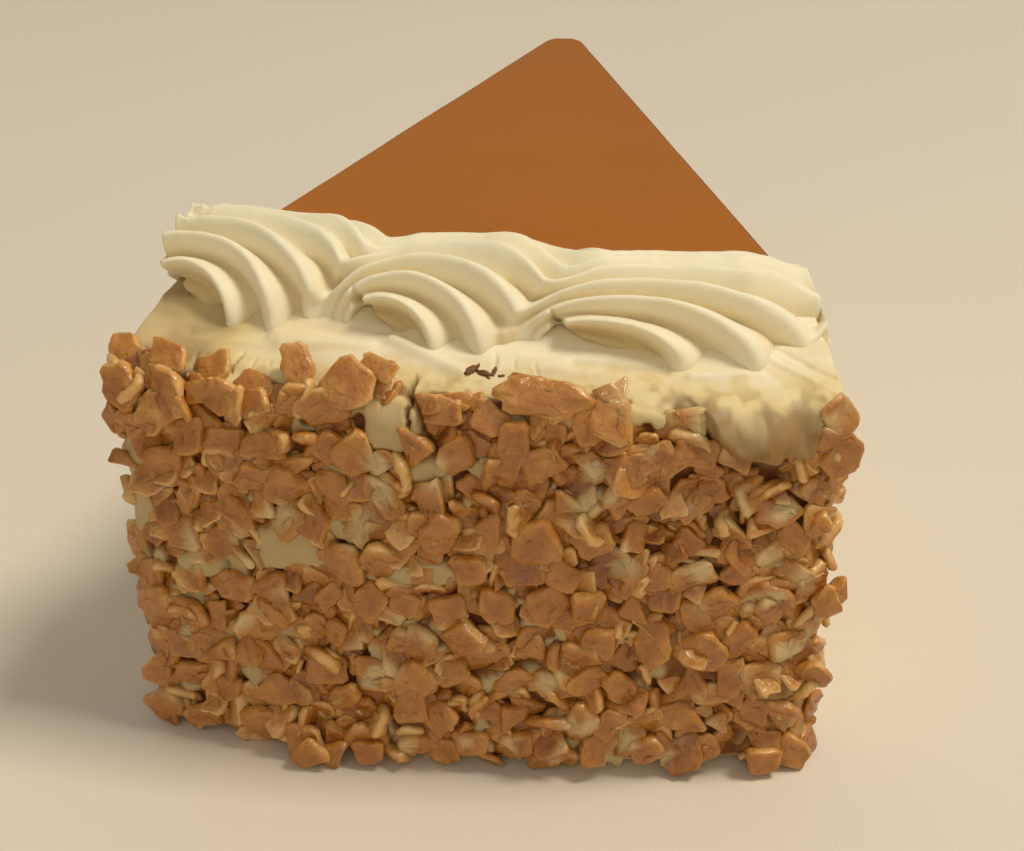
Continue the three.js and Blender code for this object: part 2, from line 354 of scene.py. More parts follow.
# Plan outline of the slice: left cut from rim to tip, rounded tip, right cut, rim. Each point has
# -1, 1 or 0 for the cut that it is on.
def planOutline(radius):
    tip = cake["tipRadius"]
    tipCentre = tip / math.sin(halfAngle)
    r = np.linspace(radius, tipCentre * math.cos(halfAngle), bodyShape["sideSteps"], endpoint=False)
    left = stack(-r * math.sin(halfAngle), -r * math.cos(halfAngle), -1)
    turn = np.linspace(math.pi - halfAngle, halfAngle, bodyShape["tipSteps"] + 1)
    end = stack(tip * np.cos(turn), tip * np.sin(turn) - tipCentre, 0)
    angle = np.linspace(halfAngle, -halfAngle, bodyShape["rimSteps"] + 1)[1:-1]
    rim = stack(radius * np.sin(angle), -radius * np.cos(angle), 0)
    return np.concatenate([left, end, left[::-1] * [-1, 1, -1], rim])


# Height of the body's top edge at a radius: flat, then rounded off under the shoulder.
def bodyTopAt(radius):
    drop = bodyShape["edgeDrop"] * smoothStep(radius, bodyShape["edgeStart"], cake["bodyRadius"])
    return topHeight - cake["glazeThickness"] - drop


def makeBody():
    shape = bodyShape
    outline = planOutline(cake["bodyRadius"] + 0.2)
    levels = np.linspace(0, 1, shape["heightSteps"])[:, None]
    height = levels * bodyTopAt(np.hypot(outline[:, 0], outline[:, 1]))
    x, y, side = outline.T
    points = stack(x, y, height)
    # the knife drags the crumb towards the rim, so its marks run along the cut
    relief = -shape["drag"] * (0.5 + roughness(points * shape["dragStretch"], 1.6, 3.1))
    relief -= shape["pores"] * np.clip(roughness(points, 1.1, 7.7), 0.1, 1)
    relief *= np.abs(side) * smoothStep(height, 0.0, 1.5)
    x = x + side * relief * math.cos(halfAngle)
    y = y + np.abs(side) * relief * math.sin(halfAngle)
    points = stack(axisX + x * mm, axisY + y * mm, height * mm)
    faces = [face[::-1] for face in loopFaces(*height.shape)] + endFaces(*height.shape)
    piece = newPiece("cutCakeBody", points, faces, cakeMaterial)
    fixNormals(piece)
    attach(piece, "root")
    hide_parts("cake_body")


def fixNormals(piece):
    work = bmesh.new()
    work.from_mesh(piece.data)
    bmesh.ops.remove_doubles(work, verts=work.verts, dist=1e-7)
    bmesh.ops.recalc_face_normals(work, faces=work.faces)
    work.to_mesh(piece.data)
    work.free()
    piece.data.shade_smooth()


makeBody()
print("body made")


# ---- toffee glaze ----

glazeShape = {
    "rows": 150,
    "columns": 90,
    "edgeRadius": 0.75,
    "waviness": 0.12,
    "edgeShadeWidth": 0.8,  # width of the painted shade along the glaze's edge; its sides are painted dark all over
    "edgeShadeDarkness": 0.8,
    "bottom": 42.9,
}


# Half angle, in degrees, of the slice's plan at a radius from the cake's axis.
def planHalfAngle(radius):
    centre = cake["tipRadius"] / math.sin(halfAngle)
    cosine = (radius**2 + centre**2 - cake["tipRadius"] ** 2) / (2 * radius * centre)
    inTip = np.degrees(np.arccos(np.clip(cosine, -1, 1)))
    return np.where(radius > centre * math.cos(halfAngle), cake["halfAngle"], inTip)


def makeGlaze():
    shape = glazeShape
    tipStart = cake["tipRadius"] / math.sin(halfAngle) - cake["tipRadius"]
    run = np.linspace(0, 1, shape["rows"]) ** 1.6
    radius = (tipStart + 1e-4 + (cake["glazeRadius"] - tipStart) * run)[:, None]
    widest = planHalfAngle(radius)
    t = np.linspace(-1, 1, shape["columns"])
    across = np.sign(t) * (1 - (1 - np.abs(t)) ** 2)
    degrees = widest * across
    edge = np.minimum(widest * (1 - np.abs(across)) * math.pi / 180 * radius, radius - tipStart)
    inEdge = np.clip(shape["edgeRadius"] - edge, 0, shape["edgeRadius"])
    fall = shape["edgeRadius"] - np.sqrt(shape["edgeRadius"] ** 2 - inEdge**2)
    flat = place(radius, degrees, 0.0) / mm
    wave = roughness(flat, 22.0, 5.0) * shape["waviness"] + roughness(flat, 7.0, 2.0) * 0.03
    height = topHeight - 0.05 - fall + np.minimum(wave, 0.05)
    top = place(radius, degrees, height)
    low = place(radius, degrees, np.full(degrees.shape, shape["bottom"]))
    ring = np.concatenate([top, low[:, ::-1]], axis=1)
    rows, columns = ring.shape[:2]
    ends = [face[::-1] for face in endFaces(rows, columns)]
    piece = newPiece("toffeeGlazeTop", ring, loopFaces(rows, columns) + ends, glazeMaterial)
    # painted shade: strongest at the edge, full on the sides
    setEdge = [1 - smoothStep(edge, 0.05, shape["edgeShadeWidth"]), np.ones(low.shape[:2])]
    pointValue(piece, "setEdge", shape["edgeShadeDarkness"] * np.concatenate(setEdge, axis=1))
    fixNormals(piece)
    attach(piece, "root")
    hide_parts("toffee_glaze")


makeGlaze()
print("glaze made")


# ---- cream coat ----

coat = {
    "steps": 420,  # along the rim
    "foot": 0.8,
    "wallGrain": 5.0,
    "wallWave": 0.4,
    "fineWave": 0.2,
    "edgeTurn": 1.25,  # how far the wall's top edge turns in towards the shoulder, radians
    "shoulderWave": 0.45,
    "shoulderLines": 0.12,
    "patchBulge": 1.2,
    "cornerStart": 13.7,  # degrees from the middle where the corners begin to round off
    "cornerDrop": 2.6,
    "wallPaintedShade": 0.44,
}
# A lip of cream hangs over the nuts at the right, with a dark slit under it.
ledge = {
    "start": 6.8,
    "end": 13.9,
    "stand": 1.3,
    "slit": 1.6,
    "slitWidth": 0.6,
    "hangsFrom": 9.3,
    "hangsTo": 34.9,
}
# At the left the cream comes lower for a stretch, and the chips there sit lower too.
lowStretch = {"angle": -9.3, "width": 2.4, "drop": 1.3}
# Where the lip begins, small chips climb higher under a veil of cream.
climb = {"angle": 8.7, "width": 1.5, "rise": 1.0}
# Folds and hollows that the spatula left in the shoulder: two ends as angle and distance down
# the profile, then height and half width, all lengths in mm.
folds = [
    (-3.6, 7.7, -0.4, 11.2, 0.5, 0.7),
    (-12.7, 9.0, -9.4, 8.3, -0.5, 0.8),
    (8.9, 11.4, 11.1, 11.6, 0.4, 0.5),
    (11.6, 8.3, 14.8, 14.3, 0.3, 0.35),
    (12.6, 8.0, 15.0, 12.6, -0.3, 0.3),
    (4.2, 9.6, 7.9, 10.6, -0.35, 0.6),
    (-8.4, 9.3, -4.6, 8.6, 0.35, 0.8),
]
# Between the chips cream has come through in blobs.
squeezed = {"grain": 3.2, "from": 0.2, "full": 0.42, "stand": 0.9}
# Cracks in the cream: angle, lowest and highest point, half width and depth in mm.
cracks = [
    (-2.3, 35.8, 41.1, 0.17, 1.4),
    (-9.9, 40.0, 41.5, 0.15, 0.8),
    (-11.7, 39.8, 41.3, 0.13, 0.4),
    (-11.3, 40.2, 41.2, 0.13, 0.4),
    (-9.2, 40.2, 41.3, 0.13, 0.4),
    (-8.5, 40.4, 41.3, 0.13, 0.3),
    (0.9, 41.2, 42.2, 0.13, 0.4),
    (1.7, 41.2, 42.0, 0.13, 0.3),
    (2.6, 41.0, 41.8, 0.13, 0.3),
]

# Where the nuts leave the cream bare: angle, height, half width in degrees, half height.
barePatches = [
    (-2.95, 37.4, 1.0, 2.3),
    (-7.3, 24.1, 1.3, 2.6),
    (5.1, 30.6, 0.7, 1.6),
    (2.8, 18.2, 0.8, 1.5),
    (-14.3, 25.0, 0.9, 2.6),
]
# Between the large chips the smaller ones stop a little below the line that these reach.
topLine = {"height": 41.2, "below": 0.6, "dip": 5.4, "dipAngle": 11.2, "dipWidth": 3.0}


# Height of the nuts' upper edge at an angle.
def topEdge(angle):
    return topLine["height"] - topLine["dip"] * bell(angle, topLine["dipAngle"], topLine["dipWidth"])


# The same edge in the cream, where the lip hangs lower than the gaps between the large chips.
def creamEdge(angle):
    share = smoothStep(angle, ledge["hangsFrom"], ledge["hangsFrom"] + 1.8)
    share = share * (1 - smoothStep(angle, ledge["end"] - 0.7, ledge["end"]))
    upper = topEdge(angle) + climb["rise"] * bell(angle, climb["angle"], climb["width"])
    upper = upper + np.minimum(ledge["hangsTo"] - upper, 0) * share
    return upper - lowStretch["drop"] * bell(angle, lowStretch["angle"], lowStretch["width"])


# Share of nut cover over the coat, 0 on bare cream and 1 where the nuts are thick.
def nutCover(angle, height, spots):
    sway = roughness(spots, 4.0, 2.7) * 2.0 + roughness(spots, 1.5, 6.2) * 0.7
    sway = sway * (1 - 0.6 * smoothStep(angle, 7.5, 9.5))
    cover = smoothStep(creamEdge(angle) - topLine["below"] - height + sway, -0.4, 0.8)
    for patchAngle, patchHeight, halfWidth, halfHeight in barePatches:
        away = np.hypot((angle - patchAngle) / halfWidth, (height - patchHeight) / halfHeight)
        cover = np.minimum(cover, smoothStep(away + sway * 0.35, 0.75, 1.15))
    streaks = roughness(spots * np.array([0.6, 0.6, 1.0]), 5.5, 12.4)
    cover = np.minimum(cover, 1 - smoothStep(streaks, 0.4, 0.55))
    return cover


# Section of the coat by radius and height, from the shoulder's inner edge down the wall and back up
# inside, and how many of its points show.
def coatProfile():
    radius, size, wall = cake["radius"], cake["edgeRadius"], cake["wallTop"]

    def onEdge(turn):
        return np.array([radius - size + size * math.cos(turn), wall + size * math.sin(turn)])

    bend, inner = np.array(cake["shoulder"])
    start = onEdge(coat["edgeTurn"])
    points = [inner + (bend - inner) * t for t in np.linspace(0, 1, 12)[:-1]]
    points += [bend + (start - bend) * t for t in np.linspace(0, 1, 36)[:-1]]
    points += [onEdge(turn) for turn in np.linspace(coat["edgeTurn"], 0, 26)]
    points += [(radius, h) for h in np.linspace(wall, coat["foot"] + 0.6, 92)[1:]]
    outer = len(points)
    points += [(radius - 0.5, coat["foot"]), (cake["bodyRadius"], coat["foot"])]
    points += [(cake["bodyRadius"], h) for h in np.linspace(4, 36, 6)]
    # inside, it lies on the body all the way up
    points += [(r, bodyTopAt(r) - 0.15) for r in np.linspace(cake["bodyRadius"] - 0.7, 116.4, 7)]
    points.append((cake["glazeRadius"], 42.6))
    return np.array(points), outer


def makeCoat():
    profile, outer = coatProfile()
    degrees = np.linspace(-cake["halfAngle"], cake["halfAngle"], coat["steps"] + 1)
    tangent = np.gradient(profile, axis=0)
    tangent /= np.linalg.norm(tangent, axis=1)[:, None]
    show = (np.arange(len(profile)) < outer).astype(float)
    angle, radius = np.meshgrid(degrees, profile[:, 0], indexing="ij")
    angle, height = np.meshgrid(degrees, profile[:, 1], indexing="ij")
    spot = place(radius, angle, height) / mm
    onWall = 1 - smoothStep(height, 37.5, 41.0)
    relief = roughness(spot, coat["wallGrain"], 1.3) * coat["wallWave"] * onWall
    relief += roughness(spot, 1.7, 4.4) * coat["fineWave"] * onWall
    # the spatula drew the shoulder along the rim, so its waves are long and narrow
    run = np.concatenate([[0], np.cumsum(np.hypot(*np.diff(profile, axis=0).T))])
    drawn = stack(angle * 0.3, run / 2.6, 0.0)
    relief += roughness(drawn, 1.0, 9.1) * coat["shoulderWave"] * (1 - onWall)
    relief += roughness(drawn, 0.4, 3.3) * coat["shoulderLines"] * (1 - onWall)
    degree = math.pi / 180 * cake["radius"]  # mm of rim in one degree
    for startAngle, startRun, endAngle, endRun, rise, halfWidth in folds:
        line = np.array([(endAngle - startAngle) * degree, endRun - startRun])
        across = stack((angle - startAngle) * degree, run - startRun)
        along = np.clip(across @ line / (line @ line), 0, 1)
        gap = across - along[..., None] * line
        relief += rise * np.exp(-(gap**2).sum(axis=-1) / halfWidth**2)
    cover = nutCover(angle, height, spot)
    relief += coat["patchBulge"] * (1 - cover) * onWall
    blobs = roughness(spot, squeezed["grain"], 17.3) + 0.5 * roughness(spot, 1.2, 2.9)
    blobs = smoothStep(blobs, squeezed["from"], squeezed["full"]) * cover
    relief += squeezed["stand"] * blobs * onWall
    inLedge = smoothStep(angle, ledge["start"], ledge["start"] + 1.5)
    inLedge = inLedge * (1 - smoothStep(angle, ledge["end"], ledge["end"] + 1.0))
    upper = creamEdge(angle) + roughness(spot * [1, 1, 0], 3.0, 5.1)
    relief += ledge["stand"] * inLedge * smoothStep(height - upper, -0.25, 0.2) * onWall
    lumps = roughness(spot, 1.5, 2.6) * 0.3 + roughness(spot, 3.2, 8.4)
    relief += lumps * inLedge * (1 - cover) * onWall
    underLip = inLedge * smoothStep(angle, ledge["hangsFrom"], ledge["hangsFrom"] + 1.2)
    underLip = underLip * (1 - smoothStep(angle, ledge["end"] - 1.2, ledge["end"] - 0.6))
    slit = underLip * bell(height, upper - 0.7, ledge["slitWidth"])
    relief -= ledge["slit"] * slit
    cover = cover * (1 - smoothStep(slit, 0.1, 0.5))
    # painted shade in the slit under the lip, and below in each crack
    dark = 0.9 * slit
    for crackAngle, lowest, highest, halfWidth, depth in cracks:
        wander = 0.06 * np.sin(height * 4.1 + crackAngle) + 0.03 * np.sin(height * 11.3)
        share = bell(np.radians(angle - crackAngle - wander) * radius, 0, halfWidth)
        share = share * smoothStep(height, lowest, lowest + 0.5)
        share = share * (1 - smoothStep(height, highest - 0.6, highest))
        relief -= depth * share
        dark = np.maximum(dark, share * min(depth, 0.8))
    corner = smoothStep(np.abs(angle), coat["cornerStart"], cake["halfAngle"] + 0.6)
    ragged = 1 + 0.8 * roughness(spot * [0, 0, 1], 6.0, 1.7)
    relief -= coat["cornerDrop"] * corner * ragged * onWall
    relief *= show
    height = height + relief * tangent[:, 0]
    points = place(radius - relief * tangent[:, 1], angle, height)
    rows, columns = radius.shape
    ends = [face[::-1] for face in endFaces(rows, columns)]
    piece = newPiece("creamCoat", points, loopFaces(rows, columns) + ends, creamMaterial)
    wall = (show > 0) & (profile[:, 0] > cake["radius"] - 2.8) & (height > 1.4)
    pointValue(piece, "nutShare", cover * wall * (1 - blobs))
    # oil from the nuts stains the cream where it is thin over them
    tintWeight = show * (1 - smoothStep(height, 40.5, 42.5))
    blotch = smoothStep(roughness(spot, 2.2, 15.1) + 0.6 * roughness(spot, 0.9, 3.8), -0.25, 0.45)
    faint = 0.04 + 0.08 * smoothStep(roughness(drawn, 0.8, 6.4), -0.1, 0.4)
    # painted shade: the shoulder is painted darker towards the left, under the end of the piping
    faint += 0.12 * smoothStep(-angle, 4, 9) + 0.22 * smoothStep(-angle, 9, 11.5)
    low = smoothStep(upper + 3.5 - height, 0.0, 3.5)
    inLip = smoothStep(ledge["hangsTo"] + 6.7 - height, 0.0, 3.2) * inLedge * smoothStep(angle, 7.0, 8.5)
    # where the lip begins, the nuts show through it
    through = smoothStep(angle, 7.0, 8.0) * (1 - smoothStep(angle, 10.4, 12.0))
    through = through * (1 - smoothStep(height, 37.8, 39.6))
    inLip = inLip + 0.7 * through * smoothStep(roughness(spot, 2.2, 3.3), -0.25, 0.2)
    stain = np.maximum(tintWeight * (0.08 + 0.14 * low + 0.36 * inLip + 0.16 * blotch), faint)
    # painted shade: on the wall the bare cream is painted greyer and darker, as the wall gets less light
    # than the top
    stain = np.maximum(stain, coat["wallPaintedShade"] * smoothStep(creamEdge(angle) - height, 0.5, 2.0) * show)
    # under the chips the cream is painted brown: nut oil, and painted shade in the gaps between the chips
    stain = np.maximum(cover * wall * (1 - 0.8 * blobs), stain)
    # the painted shade of the slit and the cracks goes in with the stains
    pointValue(piece, "stain", np.maximum(stain, dark * show))
    fixNormals(piece)
    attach(piece, "root")
    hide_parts("nut_cream_coat")
    return piece


coatPiece = makeCoat()
print("coat made")


# ---- piped border ----

border = {
    "frontRadius": 124.6,
    "frontDrift": 0.15,
    "frontHeight": 42.2,
    "frontFall": 0.05,
    "width": 14.6,
    "backHeight": 45.0,
    "rise": 6.08,
    "riseFall": 0.05,
    "tailStart": 11.5,
    "tailDraw": 3.6,
    "tailDrop": 2.2,
    "midRadius": 117.0,
    "foot": 0.3,
    "blend": 3.0,  # how widely the outer ridges bend from one shell into the next
    "tearDepth": 2.8,
    "pocketPaintedShade": 0.34,  # painted shade: how much darker the cream is painted in the pockets and grooves
    "overhang": 0.2,  # degrees that the soft ends stand out past the cut
    "endDome": 0.35,
    "stepsAlong": 430,
    "stepsAcross": 200,
    "stepsEnd": 7,
}
ridges = {
    "Pitch": 2.5,
    "Ridge Depth": 2.4,
    "Crest Narrowness": 0.75,
    "Pocket Depth": 2.0,
    "Seam Depth": 0.2,
    "Seam Width": 3.0,
}
# Each shell fans out from its start; crowding is how much closer its ridges begin, for each mm
# left of that.
shells = [
    {"start": -29.2, "spread": 1.02, "lean": 0.40, "rise": 1.01, "crowding": -0.06},
    {"start": -10.3, "spread": 0.90, "lean": 0.54, "rise": 0.94, "crowding": 0.1},
    {"start": 7.6, "spread": 1.32, "lean": 0.84, "rise": 0.85, "crowding": 0.1},
    {"start": 33.4, "spread": 0.90, "lean": 0.54, "rise": 0.90, "crowding": 0.1},
]
# How far the front foot draws back, in mm, at places along the rim: least under the fingertips
# of the ridges, most where the next shell starts.
footDraw = [
    (-31.0, 0.2), (-22.6, 0.0), (-18.5, 0.0), (-15.5, 1.8), (-13.0, 2.2), (-11.0, 1.4),
    (-8.0, 0.5), (-3.7, 0.0), (0.5, 0.0), (3.3, 1.8), (5.5, 2.2), (7.5, 1.4),
    (11.0, 0.4), (18.4, 0.0), (31.0, 0.0),
]
# Extra height of the strand's back, in mm, at places along the rim.
backLift = [
    (-32.4, -0.1), (-28.0, -0.3), (-19.1, 0.27), (-14.1, 0.15), (-11.7, -0.8), (-9.3, -1.5),
    (-7.7, -0.3), (-5.0, -0.2), (-1.3, 0.4), (2.0, 0.8), (5.2, -0.5), (7.5, -1.5), (9.8, -0.2),
    (12.6, -0.2), (16.3, -0.5), (20.0, -0.35), (23.7, -0.4), (27.5, 0.5), (30.4, -0.1),
]


# Size of the arc of one shell's nest that passes through a place on the unrolled strand.
def arcSize(shell, along, up):
    x = along - shell["start"]
    y = up / shell["rise"] * (1 + shell["crowding"] * (np.hypot(x, 2.5) - x) / 2)
    tight = shell["spread"] ** 2 - shell["lean"] ** 2
    return (shell["spread"] * np.sqrt(x * x + tight * y * y) - shell["lean"] * x) / tight


def nestSize(along, up):
    size = arcSize(shells[0], along, up)
    for shell in shells[1:]:
        other = arcSize(shell, along, up)
        lower = np.minimum(size, other)
        share = np.clip(border["blend"] - np.abs(size - other), 0, None) / border["blend"]
        size = lower - share * share * border["blend"] / 4
    return size


# Share, 0 to 1, of the torn hollow at the lower left of each shell's pocket.
def tornShare(along, up, jagged):
    share = np.zeros(np.broadcast(along, up).shape)
    for shell in shells[:3]:
        x = along - shell["start"]
        edge = -0.3 + (3.2 - up) * 0.85 + jagged
        begun = 1 if shell is shells[0] else smoothStep(x, -1.4, -0.5)
        share += smoothStep(edge - x, 0.0, 0.35) * begun * smoothStep(4.4 - up, 0, 0.9)
    return np.clip(share, 0, 1)


# Set Position by the ridges, pockets and seams that the stored arc sizes give.
def ridgeTree():
    sizes = {name: "Float" for name in ridges}
    tree, source = newTree("piped ridges", {**sizes, "Cream": "Material"})

    def sums(operation, *values):
        return addNode(tree, "ShaderNodeMath", dict(enumerate(values)), operation=operation)

    arc = storedValue(tree, "arcSize")
    wave = sums("COSINE", sums("MULTIPLY", sums("DIVIDE", arc, source["Pitch"]), math.pi))
    crest = sums("POWER", sums("MULTIPLY", wave, wave), source["Crest Narrowness"])
    depth = sums("MULTIPLY", source["Ridge Depth"], storedValue(tree, "spacing"))
    pocket = addNode(tree, "ShaderNodeMapRange", {
        "Value": arc, "From Min": 3.4, "From Max": 5.0, "To Min": -1.0, "To Max": 0.0,
    }, interpolation_type="SMOOTHSTEP")
    gap = sums("DIVIDE", storedValue(tree, "seamGap"), source["Seam Width"])
    seam = sums("EXPONENT", sums("MULTIPLY", sums("MULTIPLY", gap, gap), -1.0))
    relief = sums("MULTIPLY", depth, sums("SUBTRACT", crest, 1.0))
    relief = sums("ADD", relief, sums("MULTIPLY", pocket, source["Pocket Depth"]))
    relief = sums("SUBTRACT", relief, sums("MULTIPLY", seam, source["Seam Depth"]))
    relief = sums("ADD", relief, storedValue(tree, "unevenness"))
    offset = addNode(tree, "ShaderNodeVectorMath", {
        0: storedValue(tree, "outward", "FLOAT_VECTOR"), "Scale": sums("MULTIPLY", relief, mm),
    }, operation="SCALE")
    moved = addNode(tree, "GeometryNodeSetPosition", {"Geometry": source["Geometry"], "Offset": offset})
    closeTree(tree, moved, source["Cream"])
    return tree


# Value at places along the rim from a list of places and values, with its corners rounded.
def alongRim(rim, knots):
    knots = np.array(knots)
    spread = np.linspace(-1.6, 1.6, 9)
    return np.mean([np.interp(rim + shift, knots[:, 0], knots[:, 1]) for shift in spread], axis=0)


def makeBorder():
    shape = border
    reach = cake["halfAngle"] + shape["overhang"]
    degrees = np.linspace(-reach, reach, shape["stepsAlong"] + 1)
    # the last rows at each end shrink to the middle of the strand and close it with a dome
    closing = np.linspace(0, 1, shape["stepsEnd"] + 1)[:-1]
    scale = np.concatenate([closing, np.ones(len(degrees)), closing[::-1]])[:, None]
    ends = np.full(len(closing), reach)
    degrees = np.concatenate([-ends, degrees, ends])[:, None]
    across = np.linspace(-shape["foot"], math.pi + shape["foot"], shape["stepsAcross"] + 1)[None, :]
    rim = np.radians(degrees) * shape["midRadius"]
    tail = smoothStep(degrees, shape["tailStart"], cake["halfAngle"])
    drift = shape["frontRadius"] + shape["frontDrift"] * degrees
    back = drift - shape["width"]
    draw = alongRim(rim, footDraw)
    front = drift - shape["tailDraw"] * tail - draw
    frontHeight = shape["frontHeight"] - shape["frontFall"] * degrees + 0.36 * draw
    rise = shape["rise"] - shape["riseFall"] * degrees - shape["tailDrop"] * tail
    along = rim + 0 * across
    up = across * (shape["width"] / 2 + rise) / 2
    size = nestSize(along, up)
    step = 0.05
    slope = np.hypot(nestSize(along + step, up) - size, nestSize(along, up + step) - size) / step
    nests = np.sort(np.stack([arcSize(shell, along, up) for shell in shells]), axis=0)
    share = (1 + np.cos(across)) / 2
    radius = back + (front - back) * share
    ground = shape["backHeight"] + (frontHeight - shape["backHeight"]) * share
    lift = alongRim(rim, backLift) * smoothStep(across, 0.7, 1.7)
    height = ground + (rise + lift) * np.sin(across)
    middleRadius = (front + back) / 2
    middleHeight = ground.mean(axis=1, keepdims=True) + rise * 0.4
    radius = middleRadius + (radius - middleRadius) * scale
    height = middleHeight + (height - middleHeight) * scale
    dome = np.sign(degrees) * np.degrees(shape["endDome"] * (1 - scale**2) / shape["midRadius"])
    points = place(radius, degrees + dome, height)
    angle = np.radians(degrees)
    outward = stack(np.sin(angle) * np.cos(across), -np.cos(angle) * np.cos(across), np.sin(across))
    unevenness = roughness(points / mm, 5.0, 2.2) * 0.25 + roughness(points / mm, 1.2, 6.1) * 0.05
    flat = stack(along, up, 0)
    jagged = roughness(flat, 1.3, 8.8) * 1.1 + roughness(flat, 0.5, 3.3) * 0.35
    unevenness -= shape["tearDepth"] * tornShare(along, up, jagged)
    # the ridges fade out where a shell starts low on the one before it
    faint = np.zeros(size.shape)
    for shell in shells[1:3]:
        x = along - shell["start"]
        faint += (1 - smoothStep(x, -1.4, 0.6)) * smoothStep(x, -7, -5) * (1 - smoothStep(up, 1.2, 3.2))
    unevenness -= 0.7 * faint
    # the nozzle left rough bits where it started, at the top left
    rough = smoothStep(-28.2 - rim, 0, 2.0) * smoothStep(up, 8.6, 10.5)
    bits = 0.8 * roughness(points / mm, 1.1, 4.9) + 0.3 * roughness(points / mm, 0.5, 1.3)
    unevenness += rough * (bits - 0.45)
    piece = newPiece("pipedCreamBorder", points, loopFaces(*size.shape), None)
    inPocket = 1 - smoothStep(size, 3.0, 4.4)
    arc = size + 0.45 * (1 - smoothStep(size, 4.5, 8.0))
    pointValue(piece, "arcSize", arc)
    # painted shade: the cream is painted darker in the pockets and in the grooves of the lower ridges
    groove = np.sin(math.pi * arc / ridges["Pitch"]) ** 4 * (1 - smoothStep(up, 6.0, 12.0))
    hollowShade = np.maximum(1 - smoothStep(size, 2.8, 4.6), 0.5 * groove)
    pointValue(piece, "stain", shape["pocketPaintedShade"] * hollowShade)
    plain = (1 - 0.5 * bell(up, 12, 2.5)) * (1 - faint) * (1 - 0.7 * inPocket)
    pointValue(piece, "spacing", plain / np.maximum(slope, 1) ** 1.2)
    pointValue(piece, "seamGap", nests[1] - nests[0])
    pointValue(piece, "unevenness", unevenness)
    pointValue(piece, "outward", outward * scale[:, :, None], "FLOAT_VECTOR")
    bakeNodes(piece, ridgeTree(), {**ridges, "Cream": creamMaterial})
    fixNormals(piece)
    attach(piece, "root")
    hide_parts("piped_border")


makeBorder()
print("border made")


# ---- chopped nuts ----

chips = {
    "seed": 4711,
    "rows": 10,
    "columns": 16,
    "lowest": 2.4,
    "rowPitch": 4.0,
    "columnPitch": 1.84,
    "wander": 0.36,
    "shortest": 4.2,
    "longest": 6.2,
    "flatness": 0.3,
    "seat": 0.45,
    "lean": 0.07,
    "tilt": 0.45,
    "thinning": 0.5,  # the chips show thinner and flatter than in the solid, outer faces level with it
    "flattening": 0.7,
    "recline": 0.13,  # how far they lie back with the rounded edge, for each mm above the wall
}
leadingChips = [
    (-12.5, 41.6, 4.6, 4.0, 0.1, 0.3),
    (-10.0, 38.7, 4.2, 3.8, 0.2, 1.2),
    (-6.9, 41.9, 4.4, 3.6, -0.4, 0.9),
    (-4.7, 40.9, 5.4, 5.2, 0.3, 0.2),
    (-3.6, 42.0, 4.0, 3.6, -0.2, 2.4),
    (-0.7, 39.6, 5.2, 3.4, 0.1, 0.1),
    (3.0, 40.7, 8.4, 4.0, 0.2, 0.05),
    (5.6, 40.3, 4.4, 3.8, 0.1, 1.0),
    (1.9, 37.1, 4.4, 4.2, 0.3, 0.8),
    (8.9, 38.6, 4.6, 3.4, -0.3, 0.4),
    (14.3, 37.0, 4.2, 4.6, 0.6, 1.3),
    (-7.4, 2.9, 5.2, 4.2, 1.0, 0.4),
    (-6.6, 2.0, 5.0, 3.6, 2.3, 2.9),
    (-4.3, 2.2, 4.6, 3.6, 1.0, 0.2),
    (12.6, 2.2, 5.2, 3.8, 1.0, 0.3),
]
# Chips in the scene alone that stand out at the corners: the same values.
cornerChips = [
    (14.4, 39.0, 4.4, 4.6, 0.5, 1.1),
    (14.7, 34.9, 4.2, 5.4, 0.3, 0.3),
    (-14.9, 35.2, 3.6, 3.4, 0.2, 0.6),
    (-14.3, 38.6, 4.6, 4.4, 0.3, 0.9),
    (-5.8, 1.9, 5.4, 4.4, 1.3, 0.2),
    (14.8, 19.5, 4.6, 3.6, 0.5, 1.4),
]
filler = {
    "Under Spacing": 1.9 * mm,
    "Under Smallest": 3.0 * mm,
    "Under Largest": 5.2 * mm,
    "Under Lift": 0.3 * mm,
    "Under Tilt": 0.4,
    "Top Spacing": 2.6 * mm,
    "Top Smallest": 2.8 * mm,
    "Top Largest": 5.4 * mm,
    "Top Lift": 0.9 * mm,
    "Top Tilt": 0.8,
    "Seed": 12,
}
# Cream climbs between the chips to this radius and smears over some of them, mm.
smear = {"level": 129.9, "reach": 1.5, "edge": 1.0, "wisps": 3.0, "share": 0.85}
chipKinds = 14


def isBare(angle, height):
    inPatch = any(
        math.hypot((angle - a) / w, (height - h) / hh) < 1 for a, h, w, hh in barePatches
    )
    return inPatch or height > topEdge(angle)


# The same repeatable draws place the large chips here as in the frame's solid.
def largeChips():
    state = chips["seed"]

    def draw(low, high):
        nonlocal state
        state = state * 16807 % 2147483647
        return low + (high - low) * state / 2147483647

    places = [(*chip, 0.0, 0.0) for chip in leadingChips]
    for row in range(chips["rows"]):
        for column in range(chips["columns"]):
            stagger = 0.25 if row % 2 == 0 else -0.25
            middle = column - (chips["columns"] - 1) / 2 + stagger
            angle = (middle + draw(-chips["wander"], chips["wander"])) * chips["columnPitch"]
            height = chips["lowest"] + (row + draw(0, chips["wander"])) * chips["rowPitch"]
            length = draw(chips["shortest"], chips["longest"])
            width = length * draw(0.65, 0.9)
            turn = draw(0, math.pi)
            tiltX = draw(-chips["tilt"], chips["tilt"])
            tiltZ = draw(-chips["tilt"], chips["tilt"])
            if not isBare(angle, height):
                places.append((angle, height, length, width, 0.0, turn, tiltX, tiltZ))
    return places


